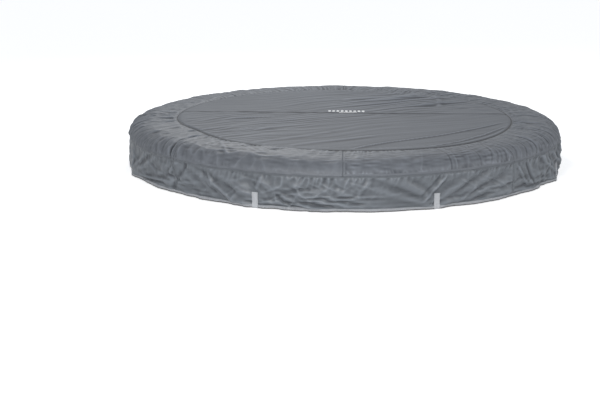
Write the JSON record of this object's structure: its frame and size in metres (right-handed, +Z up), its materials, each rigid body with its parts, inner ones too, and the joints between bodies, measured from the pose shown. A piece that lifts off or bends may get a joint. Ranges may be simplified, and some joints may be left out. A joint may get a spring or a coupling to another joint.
{
  "type": "covered low trampoline",
  "caption": "Round low trampoline under its fitted weather cover: ring frame on U-shaped legs, sprung jumping mat, foam safety pad, skirted cover with webbing tabs and a drawcord hem.",
  "frame": {"origin": "on the ground plane, at the centre of the ring", "axes": "+Z up, out of the jumping mat; -Y is the front, where the seam between two shoulder panels of the cover lies; +X to the right of a person standing at the front"},
  "size_m": [3.184, 3.184, 0.338],
  "materials": {
    "cover_fabric": "coated woven fabric, satin, creased",
    "hem_binding": "folded woven tape, matt",
    "tab_webbing": "woven webbing, matt",
    "cord": "braided cord",
    "lock_plastic": "moulded, fine texture",
    "galvanised_tube": "hot-dip galvanised, light spangle",
    "zinc_steel": "bright zinc plated",
    "spring_steel": "zinc-plated spring wire",
    "foot_rubber": "moulded rubber, matt",
    "mat_mesh": "tightly woven polypropylene mesh",
    "black_webbing": "woven webbing, stitched",
    "pad_pvc": "PVC-coated fabric, satin",
    "pad_foam": "closed-cell foam"
  },
  "bodies": {
    "frame": {"foot_pads": "foot_rubber", "leg_bolts": "zinc_steel", "leg_frame_1": "galvanised_tube", "leg_frame_2": "galvanised_tube", "leg_frame_3": "galvanised_tube", "leg_frame_4": "galvanised_tube", "leg_nuts": "zinc_steel", "leg_washers": "zinc_steel", "pad_foam_sections": "pad_foam", "pad_lower_skin": "pad_pvc", "pad_straps": "black_webbing", "pad_upper_skin": "pad_pvc", "rail_screws": "zinc_steel", "springs": "spring_steel", "tee_socket_1": "galvanised_tube", "tee_socket_2": "galvanised_tube", "tee_socket_3": "galvanised_tube", "tee_socket_4": "galvanised_tube", "tee_socket_5": "galvanised_tube", "tee_socket_6": "galvanised_tube", "tee_socket_7": "galvanised_tube", "tee_socket_8": "galvanised_tube", "top_rail_1": "galvanised_tube", "top_rail_2": "galvanised_tube", "top_rail_3": "galvanised_tube", "top_rail_4": "galvanised_tube", "top_rail_5": "galvanised_tube", "top_rail_6": "galvanised_tube", "top_rail_7": "galvanised_tube", "top_rail_8": "galvanised_tube"},
    "mat": {"mat_edge_band": "black_webbing", "mat_fabric": "mat_mesh", "mat_ring_loops": "black_webbing", "mat_v_rings": "zinc_steel"},
    "cover": {"cover_centre_front": "cover_fabric", "cover_centre_rear": "cover_fabric", "cover_shoulder_panel_1": "cover_fabric", "cover_shoulder_panel_2": "cover_fabric", "cover_shoulder_panel_3": "cover_fabric", "cover_shoulder_panel_4": "cover_fabric", "cover_shoulder_panel_5": "cover_fabric", "cover_shoulder_panel_6": "cover_fabric", "cover_shoulder_panel_7": "cover_fabric", "cover_shoulder_panel_8": "cover_fabric", "cover_skirt_panel_1": "cover_fabric", "cover_skirt_panel_2": "cover_fabric", "cover_skirt_panel_3": "cover_fabric", "cover_skirt_panel_4": "cover_fabric", "drawcord": "cord", "hem_binding": "hem_binding", "webbing_tabs": "tab_webbing"},
    "cord_lock": {"cord_lock_barrel": "lock_plastic", "cord_lock_spring": "spring_steel"},
    "cord_lock_button": {"cord_lock_plunger": "lock_plastic"}
  },
  "joints": [
    {"name": "cover_lift", "type": "slide", "parent": "frame", "child": "cover", "axis": [0, 0, 1], "range_m": [0, 0.5]},
    {"name": "mat_bounce", "type": "slide", "parent": "frame", "child": "mat", "axis": [0, 0, 1], "range_m": [-0.15, 0], "stiffness_N_per_m": 8000, "springref_m": 0.03, "deforming": ["springs"]},
    {"name": "cord_lock_slide", "type": "slide", "parent": "cover", "child": "cord_lock", "axis": [-0.7071, 0.7071, 0], "range_m": [0, 0.03]},
    {"name": "cord_lock_press", "type": "slide", "parent": "cord_lock", "child": "cord_lock_button", "axis": [0, 0, -1], "range_m": [0, 0.004], "stiffness_N_per_m": 1500, "springref_m": -0.004, "deforming": ["cord_lock_spring"]}
  ]
}
